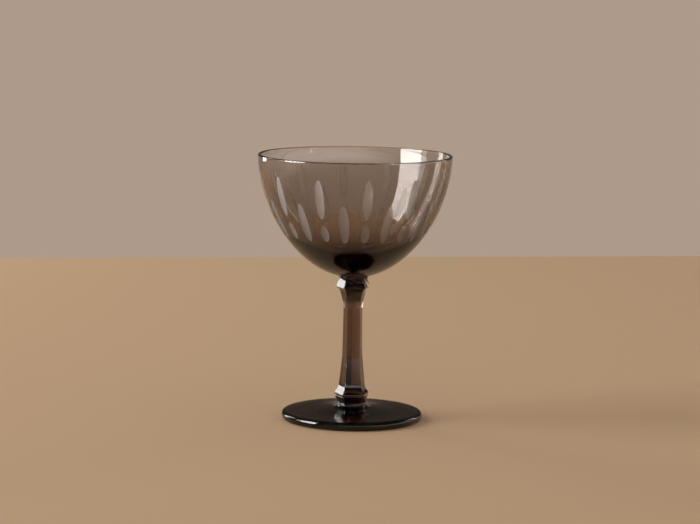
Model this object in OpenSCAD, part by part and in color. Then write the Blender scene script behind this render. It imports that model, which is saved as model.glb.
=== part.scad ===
// Cut-glass nick and nora glass: a smoke-tinted bowl on a panel-cut stem and a round foot.
// Five pieces of glass, each worked by itself and fused to the next while hot.
// Millimetres. Z points up through the stem, with zero on the surface that the foot stands on.

/* [Bowl] */
// Outer diameter of the bowl at its rim
rim_d = 95; // [84:1:106]
// Height of the bowl from its flat seat up to the rim
bowl_h = 59.6; // [54:0.2:68]
// Thickness of the wall at the rim
rim_wall = 1.3; // [1:0.05:1.5]
// Thickness of the glass under the lowest point of the inside
floor_t = 8; // [6:0.5:10]
// Power that shapes the upper wall, where more keeps it upright for longer
wall_power = 1.78; // [1.68:0.02:1.94]
// Power that shapes the underside, where more makes it rounder
base_power = 1.95; // [1.8:0.05:2.2]
// The same power for the upper part of the inside, where less thickens the wall downwards
inside_wall_power = 1.6; // [1.52:0.02:1.7]
// The same power for the floor of the inside, where more makes it flatter
inside_base_power = 2.65; // [2.4:0.05:2.9]

/* [Cuts] */
// Number of columns in each of the two sets of cuts round the bowl
cut_columns = 12; // [6:1:12]
// Angle of the first column of the upper set, to the right of the front
cut_turn = 8; // [0:1:30]
// Distance from the rim down to the top of the upper tall cuts
upper_cut_drop = 8.6; // [6:0.2:10]
// Height of the upper tall cuts
upper_cut_h = 19.2; // [15:0.2:20.4]
// Width of the upper tall cuts
upper_cut_w = 4.6; // [3:0.1:5.2]
// Distance from the rim down to the top of the lower tall cuts
lower_cut_drop = 20.8; // [18:0.2:22.4]
// Height of the lower tall cuts
lower_cut_h = 18.8; // [15:0.1:19.4]
// Width of the lower tall cuts
lower_cut_w = 4.8; // [3:0.1:5]
// Distance from the rim down to the top of the short cuts
short_cut_drop = 31; // [30.6:0.2:33]
// Height of the short cuts
short_cut_h = 8.2; // [6:0.2:8.6]
// Width of the short cuts
short_cut_w = 4; // [2.5:0.1:4.4]
// Radius of the grinding wheel that makes the short cuts
short_wheel_r = 50; // [35:1:80]

/* [Merese discs] */
// Radius of the disc between the bowl and the stem
upper_merese_r = 7.2; // [6.6:0.1:7.8]
// Thickness of the disc between the bowl and the stem
upper_merese_h = 1.3; // [1.1:0.1:2.4]
// Radius of the disc between the stem and the foot
lower_merese_r = 7.2; // [6.6:0.1:8]
// Thickness of the disc between the stem and the foot
lower_merese_h = 1.6; // [1.2:0.1:2.4]
// Radius of the rounded edges of both discs
merese_edge_r = 0.35; // [0.2:0.05:0.5]

/* [Stem] */
// Number of flat panels cut round the stem
panels = 5; // [4:1:8]
// Angle of the middle of the first panel, to the right of the front
panel_turn = 5; // [0:1:36]
// Height of the stem between the two discs
stem_h = 61; // [52:0.2:80]
// Distance from the stem's axis to a panel at the narrow waist
waist_reach = 4.05; // [3.5:0.05:4.6]
// Distance from the stem's axis to a panel at the ridge of each knop
ridge_reach = 7.16; // [6.6:0.02:7.6]
// Height of the upper knop above its ridge
upper_knop_h = 4.3; // [3.4:0.1:5.4]
// Height of the lower knop under its ridge
lower_knop_h = 4.2; // [3.4:0.1:6]
// Height of the undercut straight below the upper knop's ridge
undercut_h = 2.6; // [1.6:0.1:4]
// Distance from the stem's axis to a panel at the foot of that undercut
undercut_reach = 5.35; // [5:0.05:6]
// Height of the hollow sweep from the undercut down to the waist
upper_sweep_h = 9.8; // [7:0.2:14]
// Height of the straight taper that widens the stem under the waist
taper_h = 13.6; // [10:0.1:18]
// Distance from the stem's axis to a panel at the foot of that taper
taper_reach = 5.45; // [5:0.05:6]
// Height of the flare between the taper and the lower knop's ridge
flare_h = 4.4; // [3:0.1:6]

/* [Foot] */
// Diameter of the foot
foot_d = 69.2; // [60:0.2:80]
// Height of the rounded edge of the foot
foot_edge_h = 4.1; // [3:0.1:5]
// Height of the foot at its middle, where the lower disc sits
foot_h = 7.1; // [6.4:0.1:8]
// Radius of the ring on which the foot stands, at its outer side
stand_r = 32.6; // [28:0.1:33]
// Width of that ring
stand_w = 3.4; // [2:0.1:5]
// Height of the shallow hollow under the foot at its middle
underside_rise = 1.2; // [0.6:0.1:1.6]
// Radius out to which the foot's top sweeps down from the lower disc
foot_sweep_r = 9.4; // [8.6:0.1:12]

/* [Hidden] */
$fn = 96;

// Heights of the joints, from the foot up
stem_z = foot_h + lower_merese_h;
stem_top_z = stem_z + stem_h;
bowl_z = stem_top_z + upper_merese_h;
rim_z = bowl_z + bowl_h;

// Overrun of each tool past the glass that it cuts
tool_over = 1;
// Number of straight steps that stand for one bowed stretch of an outline
bow_steps = 6;
// Number of straight steps down the outer side of the bowl, and down its inner side
wall_steps = 30;

smoke = [0.36, 0.31, 0.27, 0.6];
deep_smoke = [0.22, 0.18, 0.15, 0.8];

// A bowed stretch from one outline point to another, without the first point. Its middle
// stands off the straight line by rise, to the left of the way from a to b.
function bow(a, b, rise) =
    let (run = b - a, side = [-run[1], run[0]] / norm(run))
    [for (i = [1:bow_steps]) let (t = i / bow_steps) a + run * t + side * rise * 4 * t * (1 - t)];

rim_r = rim_d / 2;
lip_r = rim_wall / 2;
// The outer curve would close under the seat, so its whole depth is a little more
seat_angle = acos(pow(upper_merese_r / rim_r, base_power / 2));
outer_depth = bowl_h / pow(sin(seat_angle), 2 / wall_power);

// Each side of the wall is a quarter of a superellipse, which runs from its top radius,
// straight down at first, to its depth on the axis. These are that radius, that depth, the
// power down the wall, the power round the base, and the angle at which the curve ends.
// The angle is 0 at the top and 90 on the axis.
outer_side = [rim_r, outer_depth, wall_power, base_power, seat_angle];
inner_side = [
    rim_r - rim_wall, bowl_h - floor_t, inside_wall_power, inside_base_power, 90
];

function side_point(side, angle) = [
    side[0] * pow(cos(angle), 2 / side[3]),
    rim_z - side[1] * pow(sin(angle), 2 / side[2])
];

// Points down one side of the wall, from just under the round lip
function side_points(side) =
    let (lip_angle = asin(pow(lip_r / side[1], side[2] / 2)))
    [for (i = [0:wall_steps]) side_point(side, lip_angle + (side[4] - lip_angle) * i / wall_steps)];

// Half the outline of the bowl: down the outside to the seat, then up the inside to the lip
function bowl_outline() =
    let (inside = side_points(inner_side))
    concat(
        side_points(outer_side),
        [[0, bowl_z]],
        [for (i = [wall_steps:-1:0]) inside[i]],
        [for (a = [150:-30:30])
            [rim_r - lip_r + lip_r * cos(a), rim_z - lip_r + lip_r * sin(a)]]
    );

// The point of the outer side at a drop below the rim
function outer_point(drop) =
    [rim_r * pow(1 - pow(drop / outer_depth, wall_power), 1 / base_power), rim_z - drop];

// How far the wall bulges past the straight line between the two ends of a cut
function bulge(drop, h) =
    let (top = outer_point(drop), run = outer_point(drop + h) - top)
    (outer_point(drop + h / 2) - top) * outward(run);
function outward(run) = [-run[1], run[0]] / norm(run);

// The radius of a round tool that leaves a cut of width w at this depth in the wall
function tool_r(w, depth, drop) = 1 / (2 * depth / pow(w / 2, 2) - 1 / outer_point(drop)[0]);

// A tall cut: a straight round tool ground across the bulge of the wall, which it leaves
// at the two ends of the cut
module tall_cut(drop, h, w) {
    top = outer_point(drop);
    run = outer_point(drop + h) - top;
    rod_r = tool_r(w, bulge(drop, h), drop + h / 2);
    start = top + outward(run) * rod_r - run / norm(run) * tool_over;
    translate([start[0], 0, start[1]])
        rotate([0, atan2(run[0], run[1]), 0])
            cylinder(r = rod_r, h = norm(run) + 2 * tool_over);
}

// A short cut: the round edge of a grinding wheel, pressed straight into the wall
module short_cut(drop, h, w) {
    run = outer_point(drop + h) - outer_point(drop);
    depth = bulge(drop, h) + pow(norm(run) / 2, 2) / (2 * short_wheel_r);
    edge_r = tool_r(w, depth, drop + h / 2);
    hub = outer_point(drop + h / 2) + outward(run) * (short_wheel_r - depth);
    translate([hub[0], 0, hub[1]])
        rotate([90, 0, 0])
            rotate_extrude()
                translate([short_wheel_r - edge_r, 0])
                    circle(r = edge_r);
}

// Turns a cut to its column. Columns are counted to the right from the front, which is -Y.
module column(i) {
    rotate([0, 0, cut_turn - 90 + 360 * i / cut_columns])
        children();
}

// The bowl: blown, open at the top, heavy at the bottom, with two sets of ground cuts
module bowl() {
    color(smoke)
        difference() {
            rotate_extrude()
                polygon(bowl_outline());
            for (i = [0:cut_columns - 1]) {
                column(i)
                    tall_cut(upper_cut_drop, upper_cut_h, upper_cut_w);
                column(i)
                    short_cut(short_cut_drop, short_cut_h, short_cut_w);
                column(i + 1 / 2)
                    tall_cut(lower_cut_drop, lower_cut_h, lower_cut_w);
            }
        }
}

// A merese: a flat disc of glass with a round edge, pressed between two other pieces
module merese(r, h, z) {
    edge = [for (a = [0:22.5:90]) merese_edge_r * [cos(a) - 1, sin(a) - 1]];
    translate([0, 0, z])
        rotate_extrude()
            polygon(concat(
                [[0, 0]],
                [for (i = [4:-1:0]) [r + edge[i][0], -edge[i][1]]],
                [for (i = [0:4]) [r + edge[i][0], h + edge[i][1]]],
                [[0, h]]
            ));
}

module upper_merese() {
    color(deep_smoke)
        merese(upper_merese_r, upper_merese_h, stem_top_z);
}

module lower_merese() {
    color(deep_smoke)
        merese(lower_merese_r, lower_merese_h, foot_h);
}

// A corner of the stem stands further out than a panel by this share. At each seat the
// corners just reach the rounded edge of the disc.
corner_share = 1 / cos(180 / panels);
upper_seat_reach = (upper_merese_r - merese_edge_r) / corner_share;
lower_seat_reach = (lower_merese_r - merese_edge_r) / corner_share;
// Heights on the stem, from its own seat up
flare_z = lower_knop_h + flare_h;
taper_z = flare_z + taper_h;
upper_ridge_z = stem_h - upper_knop_h;
undercut_z = upper_ridge_z - undercut_h;
sweep_z = undercut_z - upper_sweep_h;
// Distance from the stem's axis to a panel at the top of the taper
taper_top_share = 1.06;
taper_top_reach = waist_reach * taper_top_share;
// How far each bowed stretch of a panel stands off its straight line, as shares of its height
lower_knop_share = 0.15;
flare_share = 0.08;
waist_share = 0.003;
sweep_share = 0.036;
undercut_share = 0.12;
upper_knop_share = 0.03;

// Distance from the axis and height, up the line of one panel
function panel_line() =
    let (
        seat = [lower_seat_reach, 0],
        lower_ridge = [ridge_reach, lower_knop_h],
        flare_top = [taper_reach, flare_z],
        taper_top = [taper_top_reach, taper_z],
        waist = [waist_reach, sweep_z],
        undercut = [undercut_reach, undercut_z],
        upper_ridge = [ridge_reach, upper_ridge_z],
        upper_seat = [upper_seat_reach, stem_h]
    )
    concat(
        [seat],
        bow(seat, lower_ridge, -lower_knop_share * lower_knop_h),
        bow(lower_ridge, flare_top, flare_share * flare_h),
        [taper_top],
        bow(taper_top, waist, waist_share * (sweep_z - taper_z)),
        bow(waist, undercut, sweep_share * upper_sweep_h),
        bow(undercut, upper_ridge, undercut_share * undercut_h),
        bow(upper_ridge, upper_seat, -upper_knop_share * upper_knop_h)
    );

// The stem: a solid rod with a knop near each end, ground to flat-sided panels all round.
// The line of a panel is drawn out to the corners and turned round the axis.
module stem() {
    line = [for (point = panel_line()) [point[0] * corner_share, point[1]]];
    color(smoke)
        translate([0, 0, stem_z])
            rotate([0, 0, panel_turn - 90 + 180 / panels])
                rotate_extrude(angle = 360, start = 0, $fn = panels)
                    polygon(concat([[0, 0]], line, [[0, stem_h]]));
}

foot_r = foot_d / 2;
// Height of the foot's widest point, and how far in its top edge lies, as shares of the edge
widest_share = 0.42;
shoulder_share = 0.35;
edge_share = 0.16;
// Height of the sweep's low end, as a share of the rise from the edge to the middle
sweep_low_share = 0.52;
foot_sweep_share = 0.1;
foot_top_share = 0.004;
underside_share = 0.1;

// Half the outline of the foot: hollow underside, standing ring, round edge, rising top
function foot_outline() =
    let (
        middle = [0, underside_rise],
        ring_inside = [stand_r - stand_w, 0],
        ring_outside = [stand_r, 0],
        widest = [foot_r, widest_share * foot_edge_h],
        shoulder = [foot_r - shoulder_share * foot_edge_h, foot_edge_h],
        sweep_low = [foot_sweep_r, foot_edge_h + sweep_low_share * (foot_h - foot_edge_h)],
        seat = [lower_merese_r, foot_h]
    )
    concat(
        [middle],
        bow(middle, ring_inside, underside_share * underside_rise),
        [ring_outside],
        bow(ring_outside, widest, -edge_share * foot_edge_h),
        bow(widest, shoulder, -edge_share * foot_edge_h),
        bow(shoulder, sweep_low, foot_top_share * foot_r),
        bow(sweep_low, seat, foot_sweep_share * (foot_sweep_r - lower_merese_r)),
        [[0, foot_h]]
    );

// The foot: a heavy round plate of glass, pressed out flat while hot
module foot() {
    color(deep_smoke)
        rotate_extrude()
            polygon(foot_outline());
}

foot();
lower_merese();
stem();
upper_merese();
bowl();
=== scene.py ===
import math

import bpy
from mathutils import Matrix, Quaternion, Vector


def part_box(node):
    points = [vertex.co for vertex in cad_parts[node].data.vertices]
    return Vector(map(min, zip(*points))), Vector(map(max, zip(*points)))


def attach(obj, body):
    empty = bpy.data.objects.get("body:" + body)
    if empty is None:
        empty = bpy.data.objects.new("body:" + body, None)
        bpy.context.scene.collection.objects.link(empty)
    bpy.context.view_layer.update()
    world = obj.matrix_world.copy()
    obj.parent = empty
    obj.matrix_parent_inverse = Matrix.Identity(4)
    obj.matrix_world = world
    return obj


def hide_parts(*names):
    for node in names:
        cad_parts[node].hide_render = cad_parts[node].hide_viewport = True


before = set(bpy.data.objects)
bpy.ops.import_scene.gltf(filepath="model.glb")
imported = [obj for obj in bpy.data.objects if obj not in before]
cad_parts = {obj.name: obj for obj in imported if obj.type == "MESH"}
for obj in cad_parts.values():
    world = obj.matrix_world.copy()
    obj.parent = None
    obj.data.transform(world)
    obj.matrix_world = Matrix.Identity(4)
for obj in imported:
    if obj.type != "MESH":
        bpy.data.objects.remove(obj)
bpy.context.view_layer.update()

# Camera. The photograph was taken from a little above the rim, level with the front of the
# glass and well back, so the ellipses of the rim and the foot stay shallow.
PHOTO_WIDTH = 700
FOCAL_PIXELS = 2575
LOOK_DOWN = 7.53
CAMERA_ROLL = -0.84
CAMERA_SHIFT_PIXELS = -8.8
bpy.ops.object.select_all(action="DESELECT")
bpy.ops.object.camera_add(
    location=(0, -1.25, 0.243),
    rotation=(math.radians(90 - LOOK_DOWN), math.radians(CAMERA_ROLL), 0),
)
camera = bpy.context.object
camera.data.sensor_width = 36
camera.data.lens = camera.data.sensor_width * FOCAL_PIXELS / PHOTO_WIDTH
camera.data.shift_x = CAMERA_SHIFT_PIXELS / PHOTO_WIDTH
camera.data.clip_start = 0.01
bpy.context.scene.camera = camera
bpy.context.scene.view_settings.view_transform = "Standard"


# The foot: a heavy round plate of smoke glass, pressed out flat while hot and fire-polished.
# It stands on a ring ground flat round its underside, and rises a little to the disc above.
MM = 0.001
foot_r = 34.6
foot_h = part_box("foot")[1].z / MM
foot_edge_h = 4.1
stand_r = 32.6
stand_w = 3.4
underside_rise = 1.2
foot_sweep_r = 9.4
widest_share = 0.42
shoulder_share = 0.35
sweep_start_share = 0.52
hollow_bow_share = 0.1
lower_edge_bow_share = 0.14
upper_edge_bow_share = 0.16
top_bow_share = 0.004
foot_sweep_share = 0.1
merese_edge_r = 0.35
# Two pieces that are fused meet a hair apart, so that their faces never lie in one plane
FUSE_GAP = 0.005
TURNS = 288
# Vertices closer than this many metres are one
WELD = 1e-6


def bow(a, b, rise, steps=10):
    """A bowed stretch from a to b, without a, that stands off the straight line by rise."""
    run = (b[0] - a[0], b[1] - a[1])
    length = math.hypot(*run)
    points = []
    for i in range(1, steps + 1):
        t = i / steps
        out = rise * 4 * t * (1 - t) / length
        points.append((a[0] + run[0] * t - run[1] * out, a[1] + run[1] * t + run[0] * out))
    return points


def turned(name, outline, turns=TURNS, start=0.0, crease=40):
    """A closed piece turned round the axis from half an outline in millimetres."""
    across = Vector((math.cos(start), math.sin(start)))
    bpy.ops.object.select_all(action="DESELECT")
    bpy.ops.mesh.primitive_plane_add(size=MM)
    bpy.ops.object.mode_set(mode="EDIT")
    bpy.ops.mesh.select_mode(type="VERT")
    bpy.ops.mesh.merge(type="CENTER")
    bpy.ops.transform.translate(value=(*(across * outline[0][0] * MM), outline[0][1] * MM))
    for (r0, z0), (r1, z1) in zip(outline, outline[1:]):
        step = (*(across * (r1 - r0) * MM), (z1 - z0) * MM)
        bpy.ops.mesh.extrude_vertices_move(TRANSFORM_OT_translate={"value": step})
    bpy.ops.mesh.select_all(action="SELECT")
    bpy.ops.mesh.spin(steps=turns, angle=2 * math.pi, center=(0, 0, 0), axis=(0, 0, 1))
    bpy.ops.mesh.select_all(action="SELECT")
    bpy.ops.mesh.remove_doubles(threshold=WELD)
    bpy.ops.mesh.normals_make_consistent(inside=False)
    bpy.ops.object.mode_set(mode="OBJECT")
    piece = bpy.context.object
    piece.name = piece.data.name = name
    bpy.ops.object.shade_smooth_by_angle(angle=math.radians(crease))
    return piece


def lies_flat(face, height):
    """Whether a face lies level, at a height in millimetres."""
    return abs(face.normal.z) > 0.99 and abs(face.center.z / MM - height) < 0.02


def mark_fused(piece, joints):
    """Marks the flat faces at the joints, each given as a height and a test on the face."""
    mask = piece.data.attributes.new("fused", "FLOAT", "FACE")
    for face in piece.data.polygons:
        for height, inside in joints:
            if lies_flat(face, height) and inside(face.center):
                mask.data[face.index].value = 1.0


def within(radius):
    """A test of whether a point is nearer to the axis than a radius in millimetres."""
    return lambda point: math.hypot(point.x, point.y) / MM < radius


def worked_surface():
    """What hot work leaves on glass: a slow ripple, and polish that is never quite even."""
    group = bpy.data.node_groups.new("worked_surface", "ShaderNodeTree")
    for name, kind in (
        ("Vector", "NodeSocketVector"),
        ("Ripple Scale", "NodeSocketFloat"),
        ("Ripple Stretch", "NodeSocketVector"),
        ("Least Roughness", "NodeSocketFloat"),
        ("Most Roughness", "NodeSocketFloat"),
    ):
        group.interface.new_socket(name, in_out="INPUT", socket_type=kind)
    for name in ("Height", "Roughness"):
        group.interface.new_socket(name, in_out="OUTPUT", socket_type="NodeSocketFloat")
    nodes, links = group.nodes, group.links
    given = nodes.new("NodeGroupInput")
    result = nodes.new("NodeGroupOutput")
    stretch = nodes.new("ShaderNodeVectorMath")
    stretch.operation = "MULTIPLY"
    ripple = nodes.new("ShaderNodeTexNoise")
    ripple.inputs["Detail"].default_value = 1.0
    haze = nodes.new("ShaderNodeTexNoise")
    haze.inputs["Scale"].default_value = 140.0
    haze.inputs["Detail"].default_value = 3.0
    polish = nodes.new("ShaderNodeMapRange")
    polish.inputs["From Min"].default_value = 0.35
    polish.inputs["From Max"].default_value = 0.7
    links.new(given.outputs["Vector"], stretch.inputs[0])
    links.new(given.outputs["Ripple Stretch"], stretch.inputs[1])
    links.new(stretch.outputs[0], ripple.inputs["Vector"])
    links.new(given.outputs["Ripple Scale"], ripple.inputs["Scale"])
    links.new(given.outputs["Vector"], haze.inputs["Vector"])
    links.new(haze.outputs["Fac"], polish.inputs["Value"])
    links.new(given.outputs["Least Roughness"], polish.inputs["To Min"])
    links.new(given.outputs["Most Roughness"], polish.inputs["To Max"])
    links.new(ripple.outputs["Fac"], result.inputs["Height"])
    links.new(polish.outputs["Result"], result.inputs["Roughness"])
    return group


WORKED_SURFACE = worked_surface()
GLASS_IOR = 1.52
# What a metre of the bowl's glass, and of the stem's and foot's, takes out of the light
BOWL_SMOKE = (325.0, (0.2, 0.08, 0.0, 1.0))
STEM_SMOKE = (310.0, (0.32, 0.13, 0.0, 1.0))


def smoke_glass(name, tint, ripple_scale, stretch, depth):
    """Smoke glass: clear and polished, coloured by its own thickness."""
    material = bpy.data.materials.new(name)
    material.use_nodes = True
    nodes, links = material.node_tree.nodes, material.node_tree.links
    glass = nodes["Principled BSDF"]
    glass.inputs["Base Color"].default_value = (1, 1, 1, 1)
    glass.inputs["Metallic"].default_value = 0.0
    glass.inputs["Transmission Weight"].default_value = 1.0
    place = nodes.new("ShaderNodeTexCoord")
    worked = nodes.new("ShaderNodeGroup")
    worked.name = "Worked Surface"
    worked.node_tree = WORKED_SURFACE
    worked.inputs["Ripple Scale"].default_value = ripple_scale
    worked.inputs["Ripple Stretch"].default_value = stretch
    worked.inputs["Least Roughness"].default_value = 0.0
    worked.inputs["Most Roughness"].default_value = 0.03
    bump = nodes.new("ShaderNodeBump")
    bump.inputs["Strength"].default_value = 1.0
    bump.inputs["Distance"].default_value = depth * MM
    links.new(place.outputs["Object"], worked.inputs["Vector"])
    links.new(worked.outputs["Height"], bump.inputs["Height"])
    links.new(bump.outputs["Normal"], glass.inputs["Normal"])
    links.new(worked.outputs["Roughness"], glass.inputs["Roughness"])
    # Light passes a fused joint as if the glass went on, so there the index is that of air
    fused = nodes.new("ShaderNodeAttribute")
    fused.attribute_name = "fused"
    index = nodes.new("ShaderNodeMapRange")
    index.inputs["To Min"].default_value = GLASS_IOR
    index.inputs["To Max"].default_value = 1.0
    links.new(fused.outputs["Fac"], index.inputs["Value"])
    links.new(index.outputs["Result"], glass.inputs["IOR"])
    smoke = nodes.new("ShaderNodeVolumeAbsorption")
    smoke.inputs["Density"].default_value = tint[0]
    smoke.inputs["Color"].default_value = tint[1]
    links.new(smoke.outputs["Volume"], nodes["Material Output"].inputs["Volume"])
    return material


lower_low, lower_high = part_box("lower_merese")
lower_r = lower_high.x / MM
lower_flat_r = lower_r - merese_edge_r
middle = (0, underside_rise)
ring_inside = (stand_r - stand_w, 0)
widest = (foot_r, widest_share * foot_edge_h)
shoulder = (foot_r - shoulder_share * foot_edge_h, foot_edge_h)
sweep_low = (foot_sweep_r, foot_edge_h + sweep_start_share * (foot_h - foot_edge_h))
foot_outline = [
    middle,
    *bow(middle, ring_inside, hollow_bow_share * underside_rise, 24),
    (stand_r, 0),
    *bow((stand_r, 0), widest, -lower_edge_bow_share * foot_edge_h, 12),
    *bow(widest, shoulder, -upper_edge_bow_share * foot_edge_h, 12),
    *bow(shoulder, sweep_low, top_bow_share * foot_r, 28),
    *bow(sweep_low, (lower_r, foot_h), foot_sweep_share * (foot_sweep_r - lower_r), 12),
    (lower_flat_r, foot_h - FUSE_GAP),
    (0, foot_h - FUSE_GAP),
]
foot = turned("pressed_foot", foot_outline, crease=50)
mark_fused(foot, [(foot_h - FUSE_GAP, within(lower_flat_r))])
foot_smoke = smoke_glass(
    "foot_smoke", STEM_SMOKE, ripple_scale=90, stretch=(1, 1, 0.4), depth=0.02
)
foot.data.materials.append(foot_smoke)
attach(foot, "root")
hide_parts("foot")


# The lower merese: a button of hot glass dropped on the foot, on which the stem is stuck.
# Its edge stays round, and the middle of its top has melted into the panels above.
PANELS = 5
PANEL_TURN = 5
CORNER_SHARE = 1 / math.cos(math.pi / PANELS)
panel_angles = [math.radians(PANEL_TURN - 90 + 360 * i / PANELS) for i in range(PANELS)]


def merese(name, r, low, high):
    """A disc with a rounded edge, whose two flats lie a hair inside its height."""
    flat_r = r - merese_edge_r
    flat_end = flat_r * 0.999
    edge = [math.radians(a) for a in range(-90, 91, 10)]
    outline = [(0, low + FUSE_GAP), (flat_end, low + FUSE_GAP)]
    for angle in edge:
        base = low + merese_edge_r if angle <= 0 else high - merese_edge_r
        across, up = merese_edge_r * math.cos(angle), merese_edge_r * math.sin(angle)
        outline.append((flat_r + across, base + up))
        if angle == 0:
            outline.append((r, high - merese_edge_r))
    outline += [(flat_end, high - FUSE_GAP), (0, high - FUSE_GAP)]
    return turned(name, outline, crease=50)


def split_to_panels(piece, height, reach):
    """Cuts a flat face of a disc along the outline of the panels that stand on it."""
    bpy.ops.object.select_all(action="DESELECT")
    piece.select_set(True)
    bpy.context.view_layer.objects.active = piece
    for angle in panel_angles:
        away = Vector((math.cos(angle), math.sin(angle), 0))
        for face in piece.data.polygons:
            face.select = lies_flat(face, height)
        bpy.ops.object.mode_set(mode="EDIT")
        bpy.ops.mesh.bisect(plane_co=away * reach * MM, plane_no=away)
        bpy.ops.object.mode_set(mode="OBJECT")


def under_panels(reach):
    """A test of whether a point lies inside the outline of the five panels."""
    def test(point):
        return all(
            point.x * math.cos(a) + point.y * math.sin(a) < reach * MM for a in panel_angles
        )

    return test


lower_z, stem_z = lower_low.z / MM, lower_high.z / MM
lower_reach = lower_flat_r / CORNER_SHARE
lower_disc = merese("lower_disc", lower_r, lower_z, stem_z)
split_to_panels(lower_disc, stem_z - FUSE_GAP, lower_reach)
mark_fused(
    lower_disc,
    [
        (lower_z + FUSE_GAP, within(lower_flat_r)),
        (stem_z - FUSE_GAP, under_panels(lower_reach)),
    ],
)
lower_smoke = smoke_glass(
    "lower_disc_smoke", STEM_SMOKE, ripple_scale=160, stretch=(1, 1, 1), depth=0.006
)
lower_disc.data.materials.append(lower_smoke)
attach(lower_disc, "root")
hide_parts("lower_merese")


# The stem: a drawn rod with a knop near each end, ground by hand to five flat panels that
# run over both knops, and polished. Its corners are barely softened by the polish.
upper_low, upper_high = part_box("upper_merese")
upper_r = upper_high.x / MM
upper_flat_r = upper_r - merese_edge_r
upper_reach = upper_flat_r / CORNER_SHARE
stem_top = upper_low.z / MM
ridge_reach = 7.16
undercut_reach = 5.35
taper_reach = 5.45
waist_reach = 4.05
upper_knop_h = 4.3
undercut_h = 2.6
upper_sweep_h = 9.8
taper_h = 13.6
flare_h = 4.4
lower_knop_h = 4.2
taper_top_share = 1.06
lower_knop_share = 0.15
flare_share = 0.08
waist_share = 0.003
sweep_share = 0.036
undercut_share = 0.12
upper_knop_share = 0.03
upper_ridge = stem_top - upper_knop_h
lower_ridge = stem_z + lower_knop_h
taper_foot = (taper_reach, lower_ridge + flare_h)
taper_top = (waist_reach * taper_top_share, taper_foot[1] + taper_h)
undercut = (undercut_reach, upper_ridge - undercut_h)
waist = (waist_reach, undercut[1] - upper_sweep_h)
seat = (lower_reach, stem_z + FUSE_GAP)
top_seat = (upper_reach, stem_top - FUSE_GAP)
low_point, high_point = (ridge_reach, lower_ridge), (ridge_reach, upper_ridge)
CORNER_BEVEL = 0.35
panel_line = [
    seat,
    *bow(seat, low_point, -lower_knop_share * lower_knop_h),
    *bow(low_point, taper_foot, flare_share * flare_h, 8),
    *bow(taper_foot, taper_top, 0, 6),
    *bow(taper_top, waist, waist_share * (waist[1] - taper_top[1]), 12),
    *bow(waist, undercut, sweep_share * upper_sweep_h, 14),
    *bow(undercut, high_point, undercut_share * undercut_h, 8),
    *bow(high_point, top_seat, -upper_knop_share * upper_knop_h),
]
corner_line = [(r * CORNER_SHARE, z) for r, z in panel_line]
stem_outline = [(0, seat[1]), *corner_line, (0, top_seat[1])]
first_corner = math.radians(PANEL_TURN - 90 + 180 / PANELS)
stem = turned("cut_stem", stem_outline, turns=PANELS, start=first_corner, crease=80)
bpy.ops.object.select_all(action="DESELECT")
stem.select_set(True)
bpy.ops.object.mode_set(mode="EDIT")
bpy.ops.mesh.select_all(action="DESELECT")
bpy.ops.object.mode_set(mode="OBJECT")
# Only the corners between the panels and the two ridges are softened, and the seats stay sharp
for edge in stem.data.edges:
    ends = [stem.data.vertices[i].co for i in edge.vertices]
    on_axis = min(math.hypot(p.x, p.y) for p in ends) < MM
    upright = abs(ends[0].z - ends[1].z) > 0.05 * MM
    on_ridge = min(abs(ends[0].z / MM - ridge) for ridge in (lower_ridge, upper_ridge)) < 0.01
    edge.select = not on_axis and (upright or on_ridge)
bpy.ops.object.mode_set(mode="EDIT")
bpy.ops.mesh.select_mode(type="EDGE")
bpy.ops.mesh.bevel(offset=CORNER_BEVEL * MM, segments=3, affect="EDGES", clamp_overlap=True)
bpy.ops.mesh.select_all(action="SELECT")
bpy.ops.mesh.remove_doubles(threshold=WELD)
bpy.ops.mesh.normals_make_consistent(inside=False)
bpy.ops.object.mode_set(mode="OBJECT")
bpy.ops.object.shade_smooth_by_angle(angle=math.radians(40), keep_sharp_edges=False)
bpy.ops.object.modifier_add(type="WEIGHTED_NORMAL")
stem.modifiers[-1].keep_sharp = True
bpy.ops.object.modifier_apply(modifier=stem.modifiers[-1].name)
mark_fused(stem, [(seat[1], within(lower_r)), (top_seat[1], within(upper_r))])
stem_smoke = smoke_glass(
    "stem_smoke", STEM_SMOKE, ripple_scale=70, stretch=(1, 1, 0.5), depth=0.012
)
stem.data.materials.append(stem_smoke)
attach(stem, "root")
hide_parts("stem")


# The upper merese: a thinner button of glass that joins the stem to the bowl. It is pressed
# between them while hot, and its edge stays round.
bowl_z = upper_high.z / MM
upper_disc = merese("upper_disc", upper_r, stem_top, bowl_z)
split_to_panels(upper_disc, stem_top + FUSE_GAP, upper_reach)
mark_fused(
    upper_disc,
    [
        (stem_top + FUSE_GAP, under_panels(upper_reach)),
        (bowl_z - FUSE_GAP, within(upper_flat_r)),
    ],
)
upper_smoke = smoke_glass(
    "upper_disc_smoke", STEM_SMOKE, ripple_scale=160, stretch=(1, 1, 1), depth=0.006
)
upper_disc.data.materials.append(upper_smoke)
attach(upper_disc, "root")
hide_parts("upper_merese")


# The bowl: blown smoke glass, thin at the rim and heavy at the bottom. Its outside carries
# two sets of upright cuts, ground with a round stone and left satin, and the rest is polished.
rim_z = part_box("bowl")[1].z / MM
rim_r = 47.5
rim_wall = 1.3
floor_t = 8
wall_power = 1.78
base_power = 1.95
inside_wall_power = 1.6
inside_base_power = 2.65
bowl_h = rim_z - bowl_z
lip_r = rim_wall / 2
inner_r = rim_r - rim_wall
inner_depth = bowl_h - floor_t
seat_angle = math.acos((upper_r / rim_r) ** (base_power / 2))
outer_depth = bowl_h / math.sin(seat_angle) ** (2 / wall_power)
CUT_COLUMNS = 12
CUT_TURN = 8
# A stone reaches this far past each end of its cut
STONE_OVERRUN = 1
STONE_SIDES = 144
SATIN_ROUGHNESS = 0.6
SATIN_SPREAD = 0.08


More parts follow.
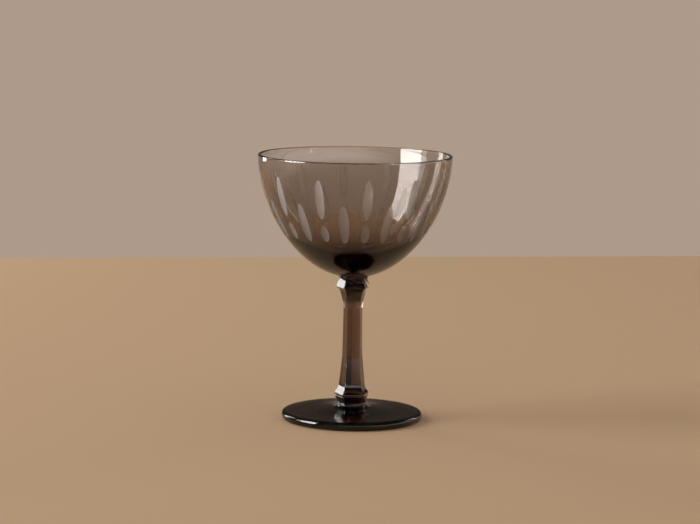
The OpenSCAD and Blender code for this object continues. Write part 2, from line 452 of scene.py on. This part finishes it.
def bowl_curve(top_r, depth, down_power, round_power, end_angle, steps):
    """Points down a quarter of a superellipse, from just under the lip to its end angle."""
    first = math.asin((lip_r / depth) ** (down_power / 2))
    points = []
    for i in range(steps + 1):
        angle = first + (end_angle - first) * i / steps
        r = top_r * max(0.0, math.cos(angle)) ** (2 / round_power)
        points.append((r, rim_z - depth * math.sin(angle) ** (2 / down_power)))
    return points


lip_angles = [math.radians(a) for a in range(15, 180, 15)]
lip = [
    (rim_r - lip_r + lip_r * math.cos(a), rim_z - lip_r + lip_r * math.sin(a))
    for a in lip_angles
]
outside = bowl_curve(rim_r, outer_depth, wall_power, base_power, seat_angle, 80)
inside = bowl_curve(
    inner_r, inner_depth, inside_wall_power, inside_base_power, math.pi / 2, 64
)
inside[-1] = (0, rim_z - inner_depth)
bowl_outline = [
    (0, bowl_z + FUSE_GAP),
    (upper_flat_r, bowl_z + FUSE_GAP),
    *reversed(outside),
    *lip,
    *inside,
]
bowl = turned("cut_bowl", bowl_outline, turns=360)


def outer_point(drop):
    """The outside of the wall at a height below the rim."""
    r = rim_r * (1 - (drop / outer_depth) ** wall_power) ** (1 / base_power)
    return Vector((r, rim_z - drop))


def cut_place(drop, height, width, wheel_r=None):
    """Where a cut lies: its chord, the way out of the wall, its depth and its tool's radius."""
    top, end = outer_point(drop), outer_point(drop + height)
    run = end - top
    out = Vector((-run.y, run.x)).normalized()
    depth = (outer_point(drop + height / 2) - top).dot(out)
    if wheel_r:
        depth += (run.length / 2) ** 2 / (2 * wheel_r)
    tool_r = 1 / (2 * depth / (width / 2) ** 2 - 1 / outer_point(drop + height / 2).x)
    return top, run, out, depth, tool_r


def column_angle(i):
    """The way out from the axis to a column, or to halfway between two of them."""
    return math.radians(CUT_TURN - 90 + 360 * i / CUT_COLUMNS)


def on_column(point, i):
    """A point of a column's own plane, out from the axis and up, as a place in metres."""
    a = column_angle(i)
    return Vector((point[0] * math.cos(a), point[0] * math.sin(a), point[1])) * MM


def round_stones(name):
    """Copies the stone that is being edited to all the columns."""
    bpy.ops.mesh.select_all(action="SELECT")
    bpy.ops.mesh.spin(
        steps=CUT_COLUMNS - 1,
        dupli=True,
        angle=2 * math.pi * (CUT_COLUMNS - 1) / CUT_COLUMNS,
        center=(0, 0, 0),
        axis=(0, 0, 1),
    )
    bpy.ops.mesh.select_all(action="SELECT")
    bpy.ops.mesh.normals_make_consistent(inside=False)
    bpy.ops.object.mode_set(mode="OBJECT")
    stones = bpy.context.object
    stones.name = name
    return stones


def tall_stones(name, column, drop, height, width):
    """Straight round stones, ground across the bulge of the wall."""
    top, run, out, depth, tool_r = cut_place(drop, height, width)
    centre = top + run / 2 + out * tool_r
    bpy.ops.object.select_all(action="DESELECT")
    bpy.ops.mesh.primitive_cylinder_add(
        vertices=STONE_SIDES,
        radius=tool_r * MM,
        depth=(run.length + 2 * STONE_OVERRUN) * MM,
        location=on_column(centre, column),
        rotation=(0, math.atan2(run.x, run.y), column_angle(column)),
    )
    bpy.ops.object.transform_apply(location=True, rotation=True)
    bpy.ops.object.mode_set(mode="EDIT")
    return round_stones(name)


def wheel_stones(name, column, drop, height, width, wheel_r):
    """The round edge of a grinding wheel, pressed straight into the wall."""
    top, run, out, depth, tool_r = cut_place(drop, height, width, wheel_r)
    hub = outer_point(drop + height / 2) + out * (wheel_r - depth)
    reach = math.asin((run.length / 2 + STONE_OVERRUN) / wheel_r)
    tangent = Vector((-math.sin(column_angle(column)), math.cos(column_angle(column)), 0))
    down = on_column(run.normalized(), column) / MM
    away = on_column(out, column) / MM
    bpy.ops.object.select_all(action="DESELECT")
    bpy.ops.mesh.primitive_circle_add(
        vertices=STONE_SIDES, radius=tool_r * MM, fill_type="NGON"
    )
    stone = bpy.context.object
    # The section starts at one end of the arc, square to the way the wheel turns
    arm = -(away * math.cos(reach) + down * math.sin(reach))
    along = arm.cross(tangent).normalized()
    stone.rotation_euler = along.to_track_quat("Z", "Y").to_euler()
    stone.location = on_column(hub, column) + arm * (wheel_r - tool_r) * MM
    bpy.ops.object.transform_apply(location=True, rotation=True)
    bpy.ops.object.mode_set(mode="EDIT")
    bpy.ops.mesh.select_all(action="SELECT")
    bpy.ops.mesh.spin(steps=48, angle=2 * reach, center=on_column(hub, column), axis=tangent)
    return round_stones(name)


stones = [
    tall_stones("upper_stones", 0, drop=8.6, height=19.2, width=4.6),
    tall_stones("lower_stones", 0.5, drop=20.8, height=18.8, width=4.8),
    wheel_stones("short_stones", 0, drop=31, height=8.2, width=4, wheel_r=50),
]
# The faces that a stone leaves take its material, so the ground ones can be told apart
polished = bpy.data.materials.new("polished_wall")
satin = bpy.data.materials.new("satin_cut")
bowl.data.materials.append(polished)
for stone in stones:
    stone.data.materials.append(satin)
    bpy.ops.object.select_all(action="DESELECT")
    bowl.select_set(True)
    bpy.context.view_layer.objects.active = bowl
    bpy.ops.object.modifier_add(type="BOOLEAN")
    grind = bowl.modifiers[-1]
    grind.operation = "DIFFERENCE"
    grind.solver = "MANIFOLD"
    grind.material_mode = "TRANSFER"
    grind.object = stone
    bpy.ops.object.modifier_apply(modifier=grind.name)
    bpy.data.objects.remove(stone)
cut_mask = bowl.data.attributes.new("satin", "FLOAT", "FACE")
for face in bowl.data.polygons:
    cut = bowl.data.materials[face.material_index] == satin
    cut_mask.data[face.index].value = 1.0 if cut else 0.0
    face.select = cut
bpy.ops.object.mode_set(mode="EDIT")
bpy.ops.mesh.select_mode(type="FACE")
bpy.ops.mesh.region_to_loop()
bpy.ops.mesh.mark_sharp()
bpy.ops.object.mode_set(mode="OBJECT")
bpy.ops.object.shade_smooth_by_angle(angle=math.radians(40), keep_sharp_edges=True)
for face in bowl.data.polygons:
    face.material_index = 0
bowl.data.materials.clear()
mark_fused(bowl, [(bowl_z + FUSE_GAP, within(upper_flat_r))])

bowl_glass = smoke_glass(
    "bowl_smoke", BOWL_SMOKE, ripple_scale=60, stretch=(1, 1, 0.35), depth=0.01
)
bowl.data.materials.append(bowl_glass)
nodes, links = bowl_glass.node_tree.nodes, bowl_glass.node_tree.links
cut_here = nodes.new("ShaderNodeAttribute")
cut_here.attribute_name = "satin"
grain = nodes.new("ShaderNodeTexNoise")
grain.inputs["Scale"].default_value = 1800.0
grain.inputs["Detail"].default_value = 2.0
links.new(nodes["Texture Coordinate"].outputs["Object"], grain.inputs["Vector"])
satin_range = nodes.new("ShaderNodeMapRange")
satin_range.inputs["To Min"].default_value = SATIN_ROUGHNESS - SATIN_SPREAD
satin_range.inputs["To Max"].default_value = SATIN_ROUGHNESS + SATIN_SPREAD
links.new(grain.outputs["Fac"], satin_range.inputs["Value"])
finish = nodes.new("ShaderNodeMix")
finish.data_type = "FLOAT"
links.new(cut_here.outputs["Fac"], finish.inputs[0])
links.new(nodes["Worked Surface"].outputs["Roughness"], finish.inputs[2])
links.new(satin_range.outputs["Result"], finish.inputs[3])
glass = nodes["Principled BSDF"]
links.new(finish.outputs[0], glass.inputs["Roughness"])
# Ground glass also throws light back from the top of its grain, which a rough coat stands for
glass.inputs["Coat Roughness"].default_value = 0.55
glass.inputs["Coat IOR"].default_value = 2.4
links.new(cut_here.outputs["Fac"], glass.inputs["Coat Weight"])
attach(bowl, "root")
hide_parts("bowl")


# The stage: a plain pale matt floor, which ends a little way behind the glass. It is painted
# board, and is a hair lower than the foot so that the two never lie in one plane.
FLOOR_COLOR = (0.47, 0.32, 0.2, 1.0)
FLOOR_SIZE = (3.2, 1.221)
FLOOR_TURN = 7.67
FLOOR_DROP = 0.1 * MM
bpy.ops.object.select_all(action="DESELECT")
bpy.ops.mesh.primitive_plane_add(size=1, location=(0, 0, -FLOOR_DROP))
floor = bpy.context.object
floor.name = "pale_floor"
floor.scale = (*FLOOR_SIZE, 1)
floor.rotation_euler.z = math.radians(FLOOR_TURN)
bpy.ops.object.transform_apply(location=True, rotation=True, scale=True)
floor_paint = bpy.data.materials.new("floor_paint")
floor_paint.use_nodes = True
paint = floor_paint.node_tree.nodes["Principled BSDF"]
paint.inputs["Base Color"].default_value = FLOOR_COLOR
paint.inputs["Roughness"].default_value = 0.9
paint.inputs["Specular IOR Level"].default_value = 0.0
floor.data.materials.append(floor_paint)


# The studio's air: a backdrop that is pale up to a little above the floor and darkens higher
# up. What is painted here is seen and mirrored, and a plain ambient does the lighting.
BACKDROP_COLOR = (0.42, 0.325, 0.255, 1.0)
HIGH_BACKDROP_COLOR = (0.065, 0.055, 0.045, 1.0)
AMBIENT_COLOR = (0.55, 0.53, 0.51, 1.0)
PALE_SIDE_COLOR = (2.0, 1.9, 1.8, 1.0)
world = bpy.data.worlds.new("studio")
bpy.context.scene.world = world
world.use_nodes = True
nodes, links = world.node_tree.nodes, world.node_tree.links
direction = nodes.new("ShaderNodeTexCoord").outputs["Generated"]
path = nodes.new("ShaderNodeLightPath")


def along(way):
    """How far each direction points along one way."""
    node = nodes.new("ShaderNodeVectorMath")
    node.operation = "DOT_PRODUCT"
    node.inputs[1].default_value = way
    links.new(direction, node.inputs[0])
    return node.outputs["Value"]


def fade(value, start, end, kind="SMOOTHSTEP"):
    """Goes from 0 to 1 while a value goes from start to end."""
    node = nodes.new("ShaderNodeMapRange")
    node.interpolation_type = kind
    node.inputs["From Min"].default_value = start
    node.inputs["From Max"].default_value = end
    links.new(value, node.inputs["Value"])
    return node.outputs["Result"]


def combine(operation, first, second):
    """What a sum of that kind makes of two values."""
    node = nodes.new("ShaderNodeMath")
    node.operation = operation
    links.new(first, node.inputs[0])
    links.new(second, node.inputs[1])
    return node.outputs["Value"]


def sine(degrees):
    return math.sin(math.radians(degrees))


up = along((0, 0, 1))
shade = nodes.new("ShaderNodeMix")
shade.data_type = "RGBA"
shade.inputs[6].default_value = BACKDROP_COLOR
shade.inputs[7].default_value = HIGH_BACKDROP_COLOR
links.new(fade(up, sine(-0.5), sine(6)), shade.inputs[0])
# The pale side of the studio, low down in front and to the right, shows in the glass as a lamp
# does, and the camera doesn't see it
side = fade(along((0.9, -0.8, 0)), -0.25, 0.75, "LINEAR")
under_top = fade(up, sine(18), sine(9))
over_foot = fade(along((0.12, 0, 1)), sine(0.5), sine(2.5))
unseen = fade(path.outputs["Is Camera Ray"], 1, 0, "LINEAR")
pale = combine("MULTIPLY", side, combine("MULTIPLY", under_top, over_foot))
around = nodes.new("ShaderNodeMix")
around.data_type = "RGBA"
around.inputs[7].default_value = PALE_SIDE_COLOR
links.new(combine("MULTIPLY", pale, unseen), around.inputs[0])
links.new(shade.outputs[2], around.inputs[6])
backdrop = nodes.new("ShaderNodeBackground")
links.new(around.outputs[2], backdrop.inputs["Color"])
ambient = nodes["Background"]
ambient.inputs["Color"].default_value = AMBIENT_COLOR
seen = combine("MAXIMUM", path.outputs["Is Camera Ray"], path.outputs["Is Glossy Ray"])
air = nodes.new("ShaderNodeMixShader")
links.new(combine("MAXIMUM", seen, path.outputs["Is Transmission Ray"]), air.inputs["Fac"])
links.new(ambient.outputs[0], air.inputs[1])
links.new(backdrop.outputs[0], air.inputs[2])
links.new(air.outputs[0], nodes["World Output"].inputs["Surface"])


# The lamps: a tall softbox at the left, with a dimmer strip where it fades out, and a narrow
# strip light behind on each side. None of them is seen by the camera itself.
def softbox(name, place, aim, width, height, radiance, lean=0.0):
    """A rectangular light at a place, turned to its aim and leaning to its side."""
    bpy.ops.object.select_all(action="DESELECT")
    bpy.ops.object.light_add(type="AREA", location=place)
    lamp = bpy.context.object
    lamp.name = name
    lamp.data.shape = "RECTANGLE"
    lamp.data.size = width
    lamp.data.size_y = height
    lamp.data.energy = radiance * math.pi * width * height
    turn = (Vector(aim) - Vector(place)).to_track_quat("-Z", "Y")
    lamp.rotation_euler = (turn @ Quaternion((0, 0, 1), math.radians(lean))).to_euler()
    lamp.visible_camera = False
    return lamp


TALL_PLACE = (-1.7, -0.32, 0.95)
TALL_AIM = (0, -0.32, 0.95)
TALL_SIZE = (1.04, 2.05)
TALL_LEAN = 15
# Polished glass shows the softbox at its full strength, and all else gets a softened part of it
tall = softbox(
    "tall_softbox", TALL_PLACE, TALL_AIM, *TALL_SIZE, radiance=13.8, lean=TALL_LEAN
)
tall.visible_diffuse = False
edge_strip = softbox(
    "softbox_fade",
    (-1.7, 0.2, 0.4),
    (0, 0.2, 0.4),
    width=0.3,
    height=0.8,
    radiance=4.2,
    lean=TALL_LEAN,
)
edge_strip.visible_diffuse = False
soft = softbox(
    "softened_light", TALL_PLACE, TALL_AIM, *TALL_SIZE, radiance=6.6, lean=TALL_LEAN
)
soft.visible_glossy = False
soft.visible_transmission = False
softbox("right_strip", (0.98, 0.85, 0.6), (0, 0, 0.1), width=0.12, height=0.8, radiance=4)
softbox("left_strip", (-0.95, 0.9, 0.4), (0, 0, 0.05), width=0.3, height=0.95, radiance=5.5)
